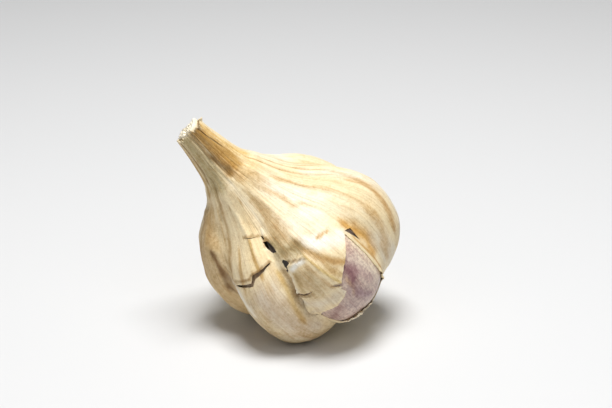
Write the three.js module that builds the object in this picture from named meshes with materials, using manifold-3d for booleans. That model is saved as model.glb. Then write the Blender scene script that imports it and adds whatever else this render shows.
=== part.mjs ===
// A garlic bulb lying on its side: seven cloves on a corky root plate, round a roll of dry inner leaves,
// all wrapped in a papery skin that runs up into the cut neck. The skin is torn open over one clove, and a
// tongue of it still hangs down over that clove.
// Millimetres, +Z up. The bulb rests on the plane z = 0, and the origin is the middle of its footprint
// box.
//
// Everything is first laid out round the bulb's own axis, with +Z towards the neck. A place on the skin is
// a bearing round that axis in degrees, and a height up the profile in percent: 0 at the root plate, 100
// at the cut neck.

import * as THREE from "three";
import Module from "manifold-3d";
import { mergeVertices } from "three/addons/utils/BufferGeometryUtils.js";

const wasm = await Module();
wasm.setup();

// ---- driving dimensions ----

// The skin's profile before the cloves push it out: [radius, height along the axis], root plate to neck.
const PROFILE = [
  [6.5, -13],
  [11, -15.5],
  [21.5, -11.5],
  [27.5, -4],
  [28.5, 8.5],
  [23, 19.5],
  [15.5, 27],
  [9.5, 36],
  [6.8, 41],
  [5, 50],
  [4.2, 56.5],
];

// The cloves in order round the bulb. bulge: how far one stands out; slide: how far it sits towards the
// neck.
const CLOVES = [
  { name: "exposed_clove", bearing: -2, bulge: 4, slide: -2, finish: "clove_skin_purple" },
  { name: "right_clove", bearing: 67, bulge: 2.5, slide: -2, finish: "clove_skin" },
  { name: "top_clove", bearing: 122, bulge: -1, slide: 2.5, finish: "clove_skin" },
  { name: "rear_clove", bearing: 166, bulge: 0.5, slide: 0, finish: "clove_skin" },
  { name: "under_clove", bearing: 205, bulge: 0.7, slide: -0.6, finish: "clove_skin" },
  { name: "left_clove", bearing: 274.5, bulge: -0.9, slide: 6.5, finish: "clove_skin" },
  { name: "front_clove", bearing: 321, bulge: 3.7, slide: -0.7, finish: "clove_skin" },
];

const VALLEY_DEPTH = 0.17; // share of the radius that the skin drops between two cloves
const VALLEY_SHARPNESS = 26; // a higher power draws the skin tighter into the valleys
// The cloves' effect on the skin fades out over these heights on the way up the neck, and over these radii
// on the way in to the root plate.
const VALLEY_FADE = [10, 38];
const BULGE_FADE = [12, 34];
const SLIDE_FADE = [20, 44];
const PLATE_FADE = [5, 14];

const SKIN_WALL = 0.6;
const CLOVE_GAP = 0.4; // clear space between the skin and a clove
const CLOVE_SIDE_GAP = 1.2; // degrees kept clear on each side of a clove
const CLOVE_SPAN = [5, 69]; // where a clove starts and ends on the profile, in percent
const CORE = { radius: 4, from: -10, to: 26 }; // the cloves' inner edge, round the inner leaves

// How the bulb lies. It turns about its own axis, leans over from upright, and leans towards a heading.
const SPIN = 98.5;
const LEAN = 39.5;
const LEAN_TOWARDS = 191;
const AXIS_HEIGHT = 19.3; // presses the skin flat under the three lowest cloves

// Torn places in the skin, as outlines of [bearing, percent]. The first tear runs down the left, across
// the bottom and up the right of the tongue, so the tongue stays joined to the skin above it.
const TEAR_ROUND_TONGUE = [
  [-12.5, 48],
  [-17.3, 47],
  [-21.5, 41],
  [-24.3, 36],
  [-26, 31.5],
  [-21.5, 29.8],
  [-17.5, 27.4],
  [-13.5, 23.5],
  [-1, 22],
  [4, 19.5],
  [18, 19],
  [26, 21.5],
  [25.5, 33],
  [25, 42.2],
  [12.2, 39.5],
  [1.5, 36.2],
  [1, 34.2],
  [-7, 33],
  [-16, 33],
  [-20.8, 31],
  [-24.8, 32.2],
  [-23, 36],
  [-20, 41],
  [-15.5, 46],
];
const VALLEY_HOLE = [
  [-18, 56.3],
  [-19.6, 53.8],
  [-18, 51.3],
  [-15.4, 53.8],
];
const RIGHT_HOLE = [
  [27.4, 42.2],
  [31.6, 40.2],
  [29.4, 38],
];
const LONG_CRACK = [
  [-64.5, 47.4],
  [-55, 46.6],
  [-47.2, 46.8],
  [-39, 46.6],
  [-36, 47.7],
  [-23.2, 48.4],
  [-23.4, 48.9],
  [-36.8, 49],
  [-39, 48],
  [-47.2, 48.1],
  [-56, 47.8],
];

// The dry inner leaves, rolled up tight from above the root plate to just proud of the cut neck: [radius,
// height].
const INNER_LEAVES = [
  [0, -11.5],
  [3, -11.5],
  [2.8, 8],
  [2.6, 30],
  [3.1, 46],
  [3.2, 56.9],
  [0, 57.3],
];

// The corky plate that the roots grew from, a shallow button in the skin's lower rim, and its trimmed
// roots.
const ROOT_PLATE = [
  [0, -15.6],
  [3.4, -15.4],
  [5.4, -14.6],
  [6, -13.6],
  [5.6, -12.5],
  [0, -12.5],
];
const ROOT_STUBS = { count: 11, ring: 3.6, height: -15.4, radius: 0.45, tip: 0.27, length: 2.2, splay: 14 };

const FINISHES = {
  outer_skin: { color: 0xdcc9a0, roughness: 0.55, metalness: 0 },
  clove_skin: { color: 0xe3d3b8, roughness: 0.5, metalness: 0 },
  clove_skin_purple: { color: 0xa98593, roughness: 0.5, metalness: 0 },
  dry_leaf: { color: 0xe6d9b4, roughness: 0.8, metalness: 0 },
  root_cork: { color: 0xa58a60, roughness: 0.9, metalness: 0 },
};

// ---- the skin's surface ----

const { clamp, degToRad, euclideanModulo, lerp, radToDeg, smoothstep } = THREE.MathUtils;
const fadeOut = (x, [from, to]) => 1 - smoothstep(x, from, to);
const asPoints = (outline) => outline.map(([x, y]) => new THREE.Vector2(x, y));
const profileCurve = new THREE.SplineCurve(asPoints(PROFILE));

// Half the angle from a clove to its neighbour below (-1) or above (+1) in bearing.
function halfWidth(index, way) {
  const neighbour = CLOVES[euclideanModulo(index + way, CLOVES.length)];
  return euclideanModulo(way * (neighbour.bearing - CLOVES[index].bearing), 360) / 2;
}
const HALF_WIDTHS = CLOVES.map((clove, i) => ({ below: halfWidth(i, -1), above: halfWidth(i, 1) }));

// The skin stretched over the cloves: at each bearing the furthest clove wins, softened where two meet.
function onSkin(bearing, percent) {
  const base = profileCurve.getPoint(clamp(percent / 100, 0, 1));
  const offPlate = smoothstep(base.x, ...PLATE_FADE);
  const valley = VALLEY_DEPTH * fadeOut(base.y, VALLEY_FADE) * offPlate;
  const swell = fadeOut(base.y, BULGE_FADE) * offPlate;
  const shift = fadeOut(base.y, SLIDE_FADE) * offPlate;
  let total = 0;
  let slide = 0;
  CLOVES.forEach((clove, i) => {
    const away = euclideanModulo(bearing - clove.bearing + 180, 360) - 180;
    const across = away / (away > 0 ? HALF_WIDTHS[i].above : HALF_WIDTHS[i].below);
    const reach = (base.x + clove.bulge * swell) * Math.max(1 - valley * across * across, 0.05);
    const weight = reach ** VALLEY_SHARPNESS;
    total += weight;
    slide += weight * clove.slide;
  });
  const radius = total ** (1 / VALLEY_SHARPNESS);
  const angle = degToRad(bearing);
  const height = base.y + (slide / total) * shift;
  return new THREE.Vector3(radius * Math.cos(angle), radius * Math.sin(angle), height);
}

// A point that lies `depth` under the skin's outer surface.
function underSkin(bearing, percent, depth) {
  const step = 0.4;
  const round = onSkin(bearing + step, percent).sub(onSkin(bearing - step, percent));
  const higher = Math.min(percent + step, 100);
  const lower = Math.max(percent - step, 0);
  const up = onSkin(bearing, higher).sub(onSkin(bearing, lower));
  return onSkin(bearing, percent).addScaledVector(round.cross(up).normalize(), -depth);
}

// ---- how the bulb lies on the table ----

const bulb = new THREE.Group();
bulb.rotation.set(0, degToRad(LEAN), degToRad(LEAN_TOWARDS), "ZYX");
bulb.position.z = AXIS_HEIGHT;
const spun = new THREE.Group();
spun.rotation.z = degToRad(SPIN);
bulb.add(spun);
bulb.updateMatrixWorld(true);
const toTable = spun.matrixWorld.clone();
const fromTable = toTable.clone().invert();

// Nothing goes below the table: a point that would is pressed flat at `height` above it.
function pressed(point, height) {
  point.applyMatrix4(toTable);
  point.z = Math.max(point.z, height);
  return point.applyMatrix4(fromTable);
}

// ---- shaping, cutting and joining ----

// Moves every vertex of a geometry by a function of its position.
function reshape(geometry, move) {
  const position = geometry.getAttribute("position");
  const point = new THREE.Vector3();
  for (let i = 0; i < position.count; i++) {
    const moved = move(point.fromBufferAttribute(position, i));
    position.setXYZ(i, moved.x, moved.y, moved.z);
  }
  return geometry;
}

// A solid of revolution about Z from an outline of [radius, height].
function turned(outline, steps) {
  return new THREE.LatheGeometry(asPoints(outline), steps).rotateX(Math.PI / 2);
}

function asManifold(geometry) {
  geometry.deleteAttribute("normal");
  geometry.deleteAttribute("uv");
  const merged = mergeVertices(geometry, 1e-4);
  return new wasm.Manifold(
    new wasm.Mesh({
      numProp: 3,
      vertProperties: merged.getAttribute("position").array,
      triVerts: new Uint32Array(merged.index.array),
    }),
  );
}

function asGeometry(solid) {
  const mesh = solid.getMesh();
  const geometry = new THREE.BufferGeometry();
  geometry.setAttribute("position", new THREE.BufferAttribute(new Float32Array(mesh.vertProperties), 3));
  geometry.setIndex(new THREE.BufferAttribute(new Uint32Array(mesh.triVerts), 1));
  return geometry;
}

// ---- the skin ----
// It is torn on a plain sleeve, where the angle is the bearing, the height is the percent and the radius
// is the depth in the wall. The torn sleeve is then drawn over the cloves.

const SLEEVE = { radius: 30, roundSteps: 56, upSteps: 25 };

function sleeve() {
  const stepHeight = 100 / SLEEVE.upSteps;
  const outside = Array.from({ length: SLEEVE.upSteps + 1 }, (_, i) => [SLEEVE.radius, i * stepHeight]);
  const inside = outside.map(([radius, percent]) => [radius - SKIN_WALL, percent]).reverse();
  return asManifold(turned([...outside, ...inside, outside[0]], SLEEVE.roundSteps));
}

// A wedge that cuts a torn outline through the sleeve's wall.
function tear(outline) {
  const inner = SLEEVE.radius / 2;
  const shape = new THREE.Shape(asPoints(outline));
  const slab = new THREE.ExtrudeGeometry(shape, { depth: SLEEVE.radius, bevelEnabled: false });
  return asManifold(
    reshape(slab, (v) => {
      const angle = degToRad(v.x);
      const radius = inner + v.z;
      return v.set(radius * Math.cos(angle), radius * Math.sin(angle), v.y);
    }),
  );
}

function outerSkin() {
  const tears = [TEAR_ROUND_TONGUE, VALLEY_HOLE, RIGHT_HOLE, LONG_CRACK];
  const torn = tears.reduce((skin, outline) => skin.subtract(tear(outline)), sleeve());
  return reshape(asGeometry(torn), (v) => {
    const depth = clamp(SLEEVE.radius - Math.hypot(v.x, v.y), 0, SKIN_WALL);
    return pressed(underSkin(radToDeg(Math.atan2(v.y, v.x)), v.z, depth), depth);
  });
}

// ---- cloves and root plate ----

// A ball drawn out into a clove: flat against its neighbours, full against the skin, narrow towards both
// ends.
function cloveGeometry(clove, halfWidths) {
  const roundSteps = 20;
  const lengthSteps = 14;
  const squareness = 5; // 2 gives a round section
  const taper = 0.33; // 0.5 gives a round outline along the length
  return reshape(new THREE.SphereGeometry(1, roundSteps, lengthSteps), (v) => {
    const girth = (1 - Math.min(v.y * v.y, 1)) ** taper;
    const size = (Math.abs(v.x) ** squareness + Math.abs(v.z) ** squareness) ** (1 / squareness) || 1;
    const across = (girth * v.x) / size;
    const outwards = 0.5 + (0.5 * girth * v.z) / size;
    const along = 0.5 + 0.5 * v.y;
    const halfWidthHere = across > 0 ? halfWidths.above : halfWidths.below;
    const bearing = clove.bearing + across * (halfWidthHere - CLOVE_SIDE_GAP);
    const depth = SKIN_WALL + CLOVE_GAP;
    const outside = pressed(underSkin(bearing, lerp(...CLOVE_SPAN, along), depth), depth);
    const angle = degToRad(bearing);
    const inside = new THREE.Vector3(Math.cos(angle), Math.sin(angle), 0).multiplyScalar(CORE.radius);
    inside.z = lerp(CORE.from, CORE.to, along);
    return v.copy(inside.lerp(outside, outwards));
  });
}

// The plate with a ring of trimmed roots that splay outwards.
function rootPlate() {
  const stubs = Array.from({ length: ROOT_STUBS.count }, (_, i) => {
    const stub = new THREE.CylinderGeometry(ROOT_STUBS.radius, ROOT_STUBS.tip, ROOT_STUBS.length, 6);
    stub.rotateX(Math.PI / 2);
    stub.rotateY(degToRad(-ROOT_STUBS.splay));
    stub.translate(ROOT_STUBS.ring, 0, ROOT_STUBS.height);
    return asManifold(stub.rotateZ((2 * Math.PI * i) / ROOT_STUBS.count));
  });
  const plate = asManifold(turned(ROOT_PLATE, 24));
  return asGeometry(stubs.reduce((whole, stub) => whole.add(stub), plate));
}

// ---- assembly ----

function add(name, geometry, finish) {
  const mesh = new THREE.Mesh(geometry, new THREE.MeshStandardMaterial(FINISHES[finish]));
  mesh.name = name;
  spun.add(mesh);
}

add("outer_skin", outerSkin(), "outer_skin");
CLOVES.forEach((clove, i) => add(clove.name, cloveGeometry(clove, HALF_WIDTHS[i]), clove.finish));
add("inner_leaves", turned(INNER_LEAVES, 20), "dry_leaf");
add("root_plate", rootPlate(), "root_cork");

// Centre the footprint on the origin.
const footprint = new THREE.Box3().setFromObject(bulb, true).getCenter(new THREE.Vector3());
bulb.position.x -= footprint.x;
bulb.position.y -= footprint.y;

const garlic = new THREE.Group();
garlic.add(bulb);

export default garlic;
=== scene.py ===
# %% [markdown]
# # A torn garlic bulb
# A garlic bulb is a bunch of cloves on a corky plate, with a papery skin drawn over all of them. The skin
# is what the eye sees: it swells over each clove, sinks between them, and gathers into pleats at the
# neck. So the whole lesson hangs on one idea: every piece is made flat or round and plain first, with a
# bearing round the bulb and a height up it, and one formula then draws it over the cloves.

# %% Tools and the fixed frame
import math
import random

import bmesh
import bpy
import numpy as np
from mathutils import Matrix, Vector, noise


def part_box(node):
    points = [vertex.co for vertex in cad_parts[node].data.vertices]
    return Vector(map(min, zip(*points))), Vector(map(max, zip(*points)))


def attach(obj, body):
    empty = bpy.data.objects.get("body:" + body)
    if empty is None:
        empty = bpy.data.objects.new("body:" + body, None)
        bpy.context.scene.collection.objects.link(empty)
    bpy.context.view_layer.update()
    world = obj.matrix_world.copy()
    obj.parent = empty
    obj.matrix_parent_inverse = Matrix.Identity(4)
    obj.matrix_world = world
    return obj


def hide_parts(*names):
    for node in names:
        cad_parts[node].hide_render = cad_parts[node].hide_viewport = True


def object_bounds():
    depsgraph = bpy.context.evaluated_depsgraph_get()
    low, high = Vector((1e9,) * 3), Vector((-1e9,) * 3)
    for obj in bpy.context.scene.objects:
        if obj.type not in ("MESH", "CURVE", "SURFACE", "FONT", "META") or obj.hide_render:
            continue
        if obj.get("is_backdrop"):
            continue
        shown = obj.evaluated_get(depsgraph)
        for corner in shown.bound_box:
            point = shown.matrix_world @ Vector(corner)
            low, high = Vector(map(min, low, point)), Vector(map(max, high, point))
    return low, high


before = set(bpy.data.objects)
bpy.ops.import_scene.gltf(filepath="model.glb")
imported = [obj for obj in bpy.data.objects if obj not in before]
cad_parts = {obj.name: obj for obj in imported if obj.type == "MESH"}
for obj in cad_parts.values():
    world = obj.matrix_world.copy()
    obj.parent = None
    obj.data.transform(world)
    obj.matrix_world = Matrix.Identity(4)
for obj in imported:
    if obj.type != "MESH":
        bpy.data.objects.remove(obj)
cad_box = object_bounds()
MM = 0.001
print("frame:", sorted(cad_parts))


def into_scene(name, data):
    """A new object that holds `data`."""
    made = bpy.data.objects.new(name, data)
    bpy.context.scene.collection.objects.link(made)
    return made


# %% [markdown]
# ## The bulb as numbers
# The skin starts as a profile turned about the bulb's own axis, and each clove pushes it outwards. The
# cloves aren't alike: some stand out, and the left one has slid towards the neck. The numbers are those
# of the frame's own design, so that the looks and the frame are one shape.

# %% Profile and cloves, in millimetres and degrees
PROFILE = [(6.5, -13), (11, -15.5), (21.5, -11.5), (27.5, -4), (28.5, 8.5), (23, 19.5)]
PROFILE += [(15.5, 27), (9.5, 36), (6.8, 41), (5, 50), (4.2, 56.5)]
# node: (bearing, how far it stands out, how far it has slid towards the neck)
CLOVES = {
    "exposed_clove": (-2, 4, -2),
    "right_clove": (67, 2.5, -2),
    "top_clove": (122, -1, 2.5),
    "rear_clove": (166, 0.5, 0),
    "under_clove": (205, 0.7, -0.6),
    "left_clove": (274.5, -0.9, 6.5),
    "front_clove": (321, 3.7, -0.7),
}
VALLEY_DEPTH = 0.17
VALLEY_SHARPNESS = 26
# the radius or height at which each effect is 0, and where it is full
PLATE_EDGE, VALLEY_FADE, SWELL_FADE, SLIDE_FADE = (5, 14), (38, 10), (34, 12), (44, 20)
SPIN, LEAN, LEAN_TOWARDS = 98.5, 39.5, 191
AXIS_HEIGHT = 19.3


def smooth(low, high, x):
    """0 below low, 1 above high, and a soft S between; low may be the larger one."""
    part = np.clip((x - low) / (high - low), 0, 1)
    return part * part * (3 - 2 * part)


def round_axis(radius, bearing, height):
    """Points at a radius, a bearing and a height, in the bulb's own frame."""
    angle = np.radians(bearing)
    return np.stack([radius * np.cos(angle), radius * np.sin(angle), height], -1)


def half_width(index, way):
    """Half the angle from a clove to the next one, going round in direction way."""
    bearings = [bearing for bearing, _, _ in CLOVES.values()]
    neighbour = bearings[(index + way) % len(bearings)]
    return (way * (neighbour - bearings[index])) % 360 / 2


def profile_at(percent):
    """Radius and height of the bare profile: a smooth curve through its points."""
    points = np.array(PROFILE, float)
    last = len(points) - 1
    place = np.clip(percent / 100, 0, 1) * last
    i = np.minimum(place.astype(int), last - 1)
    t = (place - i)[..., None]
    before, start = points[np.maximum(i - 1, 0)], points[i]
    end, after = points[i + 1], points[np.minimum(i + 2, last)]
    leave, arrive = (end - before) / 2, (after - start) / 2
    curve = (2 * start - 2 * end + leave + arrive) * t**3
    curve += (-3 * start + 3 * end - 2 * leave - arrive) * t**2
    curve += leave * t + start
    return curve[..., 0], curve[..., 1]


def on_skin(bearing, percent):
    """Points of the skin drawn over the cloves, in the bulb's own frame."""
    radius, height = profile_at(percent)
    off_plate = smooth(*PLATE_EDGE, radius)
    valley = VALLEY_DEPTH * smooth(*VALLEY_FADE, height) * off_plate
    swell = smooth(*SWELL_FADE, height) * off_plate
    shift = smooth(*SLIDE_FADE, height) * off_plate
    total, slide = 0, 0
    for index, (middle, bulge, slid) in enumerate(CLOVES.values()):
        away = (bearing - middle + 180) % 360 - 180
        across = away / np.where(away > 0, half_width(index, 1), half_width(index, -1))
        reach = (radius + bulge * swell) * np.maximum(1 - valley * across**2, 0.05)
        weight = reach**VALLEY_SHARPNESS
        total = total + weight
        slide = slide + weight * slid
    reach = total ** (1 / VALLEY_SHARPNESS)
    return round_axis(reach, bearing, height + slide / total * shift)


def off_skin(bearing, percent, lift):
    """Points that stand `lift` millimetres off the skin, or under it where lift is below 0."""
    step = 0.4
    around = on_skin(bearing + step, percent) - on_skin(bearing - step, percent)
    higher, lower = np.minimum(percent + step, 100), np.maximum(percent - step, 0)
    up = on_skin(bearing, higher) - on_skin(bearing, lower)
    out = np.cross(around, up)
    out /= np.linalg.norm(out, axis=-1, keepdims=True)
    return on_skin(bearing, percent) + out * np.broadcast_to(lift, bearing.shape)[..., None]


# %% [markdown]
# ## Laying the bulb down
# The bulb turns about its own axis, leans over and comes to rest on its lowest cloves. The lean and the
# turn are the frame's. Its place on the table is read off the frame: the drawn skin has to fill the same
# box as the frame's `outer_skin` node.

# %% From the bulb's own frame to the table
turned = (
    Matrix.Rotation(math.radians(LEAN_TOWARDS), 3, "Z")
    @ Matrix.Rotation(math.radians(LEAN), 3, "Y")
    @ Matrix.Rotation(math.radians(SPIN), 3, "Z")
)
TURN = np.array(turned)


def lie_down(points, place, floor=0.0):
    """Bulb frame in millimetres to table in metres. Nothing goes lower than `floor` millimetres."""
    laid = points @ TURN.T + place
    laid[..., 2] = np.maximum(laid[..., 2], floor)
    return laid * MM


survey = np.meshgrid(np.linspace(-180, 180, 361), np.linspace(0, 100, 201))
spread = on_skin(*survey).reshape(-1, 3) @ TURN.T
low, high = (np.array(corner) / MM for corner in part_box("outer_skin"))
PLACE = (low + high) / 2 - (spread.min(0) + spread.max(0)) / 2
PLACE[2] = AXIS_HEIGHT
print("the bulb's middle stands at", PLACE.round(2), "mm")

# %% [markdown]
# ## Camera
# A long lens looks down on the bulb at 25 degrees from the front. It aims a little above the bulb's
# middle, so the bulb sits low in the picture with the empty table round it.

# %% Camera
VIEW_ELEVATION = math.radians(25)
VIEW_DISTANCE = 0.52
VIEW_LENS = 100
AIM_UP, AIM_SIDE = 0.01553, -0.00064

middle = Vector(PLACE * MM)
back = Vector((0, -math.cos(VIEW_ELEVATION), math.sin(VIEW_ELEVATION)))
up = Vector((0, math.sin(VIEW_ELEVATION), math.cos(VIEW_ELEVATION)))
camera = into_scene("camera", bpy.data.cameras.new("camera"))
camera.data.lens = VIEW_LENS
camera.data.clip_start = 0.01
camera.location = middle + back * VIEW_DISTANCE
aim = middle + up * AIM_UP + Vector((AIM_SIDE, 0, 0))
camera.rotation_euler = (aim - camera.location).to_track_quat("-Z", "Y").to_euler()
bpy.context.scene.camera = camera
print("camera at", [round(c, 3) for c in camera.location])

# %% [markdown]
# ## Writing materials as sums
# A material is a tree of nodes, and a tree is slow to write out. Here a socket is wrapped in a small
# class that knows plus, minus, times and powers, so a pattern reads as a formula. One method makes any
# other node.


# %% Sockets that can be added, and a material to hold them
class Knob:
    """A socket that can stand in a sum. Each operation adds its Math node."""

    def __init__(self, finish, socket):
        self.finish = finish
        self.socket = socket

    def _math(self, operation, other=None, swapped=False):
        pair = [self] if other is None else [self, other]
        if swapped:
            pair.reverse()
        return self.finish.node("ShaderNodeMath", {"operation": operation}, dict(enumerate(pair)))

    def __add__(self, other):
        return self._math("ADD", other)

    def __sub__(self, other):
        return self._math("SUBTRACT", other)

    def __mul__(self, other):
        return self._math("MULTIPLY", other)

    def __pow__(self, other):
        return self._math("POWER", other)

    def __radd__(self, other):
        return self._math("ADD", other, swapped=True)

    def __rsub__(self, other):
        return self._math("SUBTRACT", other, swapped=True)

    def __rmul__(self, other):
        return self._math("MULTIPLY", other, swapped=True)

    def __abs__(self):
        return self._math("ABSOLUTE")


class Finish:
    """A material, with a short way to add nodes to it."""

    def __init__(self, name, roughness):
        self.material = bpy.data.materials.new(name)
        self.material.use_nodes = True
        self.tree = self.material.node_tree
        self.shader = self.tree.nodes["Principled BSDF"]
        self.shader.inputs["Roughness"].default_value = roughness

    def put(self, socket, value):
        if isinstance(value, Knob):
            self.tree.links.new(value.socket, socket)
        else:
            socket.default_value = value

    def node(self, kind, settings=None, inputs=None, output=0):
        made = self.tree.nodes.new(kind)
        for name, value in (settings or {}).items():
            setattr(made, name, value)
        for name, value in (inputs or {}).items():
            self.put(made.inputs[name], value)
        return Knob(self, made.outputs[output])

    def ramp(self, value, stops):
        """Numbers to colours or greys, through stops of (place, colour)."""
        made = self.tree.nodes.new("ShaderNodeValToRGB")
        elements = made.color_ramp.elements
        while len(elements) < len(stops):
            elements.new(0.5)
        for element, (place, colour) in zip(elements, stops):
            element.position = place
            element.color = (*colour, 1)
        self.put(made.inputs["Fac"], value)
        return Knob(self, made.outputs["Color"])

    def blend(self, amount, first, second, how="MIX"):
        """Two colours mixed. Colours never go through Math, which would turn them grey."""
        settings = {"data_type": "RGBA", "blend_type": how, "clamp_factor": True}
        first, second = ((*c, 1) if isinstance(c, tuple) else c for c in (first, second))
        return self.node("ShaderNodeMix", settings, {0: amount, 6: first, 7: second}, output=2)

    def attribute(self, name):
        return self.node("ShaderNodeAttribute", {"attribute_name": name}, output="Color")

    def noise(self, place, scale, detail=3.0, roughness=0.55, distortion=0.0):
        inputs = {"Vector": place, "Scale": scale, "Detail": detail}
        inputs |= {"Roughness": roughness, "Distortion": distortion}
        return self.node("ShaderNodeTexNoise", None, inputs, output="Fac")

    def round_the_bulb(self, round_scale, up_scale):
        """A place for patterns that run along the bulb and close up all round it."""
        along = self.node("ShaderNodeAttribute", {"attribute_name": "along"}, output="Vector")
        scale = (round_scale, round_scale, up_scale)
        return self.node("ShaderNodeVectorMath", {"operation": "MULTIPLY"}, {0: along, 1: scale})

    def object_place(self):
        return self.node("ShaderNodeTexCoord", output="Object")

    def bump(self, height, distance, strength):
        inputs = {"Strength": strength, "Distance": distance, "Height": height}
        return self.node("ShaderNodeBump", None, inputs)

    def wear(self, **sockets):
        """Links the finished patterns to the shader."""
        for name, value in sockets.items():
            self.put(self.shader.inputs[name.replace("_", " ")], value)


def colour(code):
    """A colour written as six hex digits, as linear light."""
    parts = (int(code[i : i + 2], 16) / 255 for i in (0, 2, 4))
    return tuple(c / 12.92 if c <= 0.04045 else ((c + 0.055) / 1.055) ** 2.4 for c in parts)


# %% [markdown]
# ## Marks on the skin
# Stains, painted light and shade, veins, folds and lifted edges are all the same thing: a short line of
# places on the skin, and how far its effect reaches to each side. One function measures how strongly each
# point feels such a line. Colour marks feed a painted colour attribute, and relief marks push the mesh in
# or out.


# %% How strongly a mark is felt
def reach_of(bearing, percent, line, wide, tall):
    """Distance to a line of (bearing, percent) places, counted in widths, and the side it lies on."""
    place = np.stack([bearing / wide, percent / tall], -1)
    stops = np.array(line, float) / (wide, tall)
    if len(stops) == 1:
        stops = np.repeat(stops, 2, axis=0)
    nearest = np.full(bearing.shape, np.inf)
    side = np.zeros(bearing.shape)
    for start, end in zip(stops[:-1], stops[1:]):
        run = end - start
        along = np.clip((place - start) @ run / max(run @ run, 1e-9), 0, 1)
        off = place - start - along[..., None] * run
        distance = np.hypot(off[..., 0], off[..., 1])
        closer = distance < nearest
        nearest = np.where(closer, distance, nearest)
        side = np.where(closer, np.sign(run[1] * off[..., 0] - run[0] * off[..., 1]), side)
    return nearest, side


def felt(bearing, percent, line, wide, tall):
    return smooth(1, 0, reach_of(bearing, percent, line, wide, tall)[0])


def grain(bearing, percent, round_scale, up_scale, seed):
    """Soft random numbers from -1 to 1 that close up round the bulb."""
    places = round_axis(round_scale, bearing.ravel(), up_scale * percent.ravel() + seed)
    values = [noise.noise(place) for place in places.tolist()]
    return np.array(values).reshape(bearing.shape)


MARK_WANDER = 0.35


def paint(mesh, bearing, percent, base, marks):
    """Paints the attribute `tint` on a mesh: a base colour, then each mark over it with a ragged edge."""
    tint = np.tile(colour(base), (len(bearing), 1))
    wander = MARK_WANDER * grain(bearing, percent, 14, 0.25, 3.0)
    for line, wide, tall, code, strength in marks:
        distance, _ = reach_of(bearing, percent, line, wide, tall)
        cover = (strength * smooth(1, 0, distance + wander))[:, None]
        tint = tint * (1 - cover) + np.array(colour(code)) * cover
    layer = mesh.attributes.new("tint", "FLOAT_COLOR", "POINT")
    layer.data.foreach_set("color", np.hstack([tint, np.ones((len(tint), 1))]).ravel())
    along = round_axis(1, bearing, percent / 100)
    layer = mesh.attributes.new("along", "FLOAT_VECTOR", "POINT")
    layer.data.foreach_set("vector", along.ravel())


# %% [markdown]
# ## Placing a finished piece
# A bmesh becomes a mesh, its points go to their places on the table, and the object stays at the origin.
# Each piece rides on the frame's one body and hides the frame node it stands for.


# %% From bmesh to a piece of the object
def points_of(work):
    return np.array([v.co for v in work.verts], float).reshape(-1, 3)


def move_points(work, places):
    for v, place in zip(work.verts, places):
        v.co = place


def add_piece(name, work, material, stands_for):
    mesh = bpy.data.meshes.new(name)
    work.to_mesh(mesh)
    work.free()
    mesh.shade_smooth()
    mesh.materials.append(material)
    piece = into_scene(name, mesh)
    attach(piece, "root")
    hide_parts(stands_for)
    print(f"{name}: {len(mesh.vertices)} points, {len(mesh.polygons)} faces")
    return piece


# %% [markdown]
# ## The skin, step 1: a flat sheet
# Real skin is a leaf, so it starts flat, like a paper pattern: half a millimetre wide for each degree of
# bearing and a millimetre tall for each percent of height. Cutting a flat sheet is easy, and it can be
# drawn over the cloves afterwards. The grid is finest at the front, where the tears are.

# %% The flat sheet
DEGREE = 0.5  # millimetres of pattern for a degree of bearing
COLUMNS, ROWS = 300, 150
FRONT, FRONT_CROWDING = 0.5, 0.45
TEAR_HEIGHT, TEAR_CROWDING = 0.4, 0.35


def crowded(x, towards, amount):
    """Moves even steps from 0 to 1 closer together round `towards`, and leaves both ends alone."""
    swing = math.sin(2 * math.pi * (x - towards)) + math.sin(2 * math.pi * towards)
    return x - amount * swing / (2 * math.pi)


sheet = bmesh.new()
bmesh.ops.create_grid(sheet, x_segments=COLUMNS, y_segments=ROWS, size=0.5)
for v in sheet.verts:
    v.co.x = DEGREE * (360 * crowded(v.co.x + 0.5, FRONT, FRONT_CROWDING) - 180)
    v.co.y = 100 * crowded(v.co.y + 0.5, TEAR_HEIGHT, TEAR_CROWDING)
print("flat sheet:", len(sheet.faces), "faces")

# %% [markdown]
# ## The skin, step 2: tearing it
# Dry skin tears in small jerks, so each outline is broken up into short random steps. The sheet is then
# knifed along every step with `bisect_plane`, on only the faces that the step crosses, and the faces
# inside the outline are deleted. The big tear runs round a tongue of skin that stays joined at its top.

# %% Outlines of the tears: places of (bearing, percent)
TONGUE_LEFT = [(-11.8, 47), (-12.6, 46), (-14, 45.2), (-14.3, 43.4), (-16.8, 40.8)]
TONGUE_LEFT += [(-19, 38.7), (-17.8, 37.8), (-19.8, 35.6), (-21.2, 33.4)]
TONGUE_FOOT = [(-21, 31.8), (-18.5, 31.3), (-15.5, 32.7), (-11.8, 32.7), (-7, 32.6)]
TONGUE_FOOT += [(-2.2, 33.4), (1.4, 34.2)]
TONGUE_RIGHT = [(0.2, 35.6), (2.4, 36.5), (6.2, 37.9), (10.8, 39), (18, 40.9), (24.6, 42.4)]
FRONT_RIM = [(-16.8, 47), (-16, 46), (-14.4, 45.4), (-14.9, 43.4), (-17.6, 41)]
FRONT_RIM += [(-20.4, 38.4), (-22.6, 33.6), (-22.6, 31.4), (-21, 30.3)]
FOOT_RIM = [(-19.5, 28.6), (-17.5, 27.4), (-15.4, 25.4), (-12.5, 24.4), (-7.8, 24.2)]
FOOT_RIM += [(-1.2, 23.4), (4, 21.4)]
SIDE_RIM = [(11, 19.4), (18, 18.8), (24, 19.2), (27, 20), (28.6, 21.2)]
RIGHT_RIM = [(27.6, 23), (26.9, 26), (26.1, 29.5), (25.5, 32.5), (25.2, 36), (24.8, 39)]
TONGUE = TONGUE_LEFT + TONGUE_FOOT + TONGUE_RIGHT
TEAR_TOP = [(-12.6, 48.3), (-14.4, 48.9), (-16.2, 48.3)]
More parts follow.
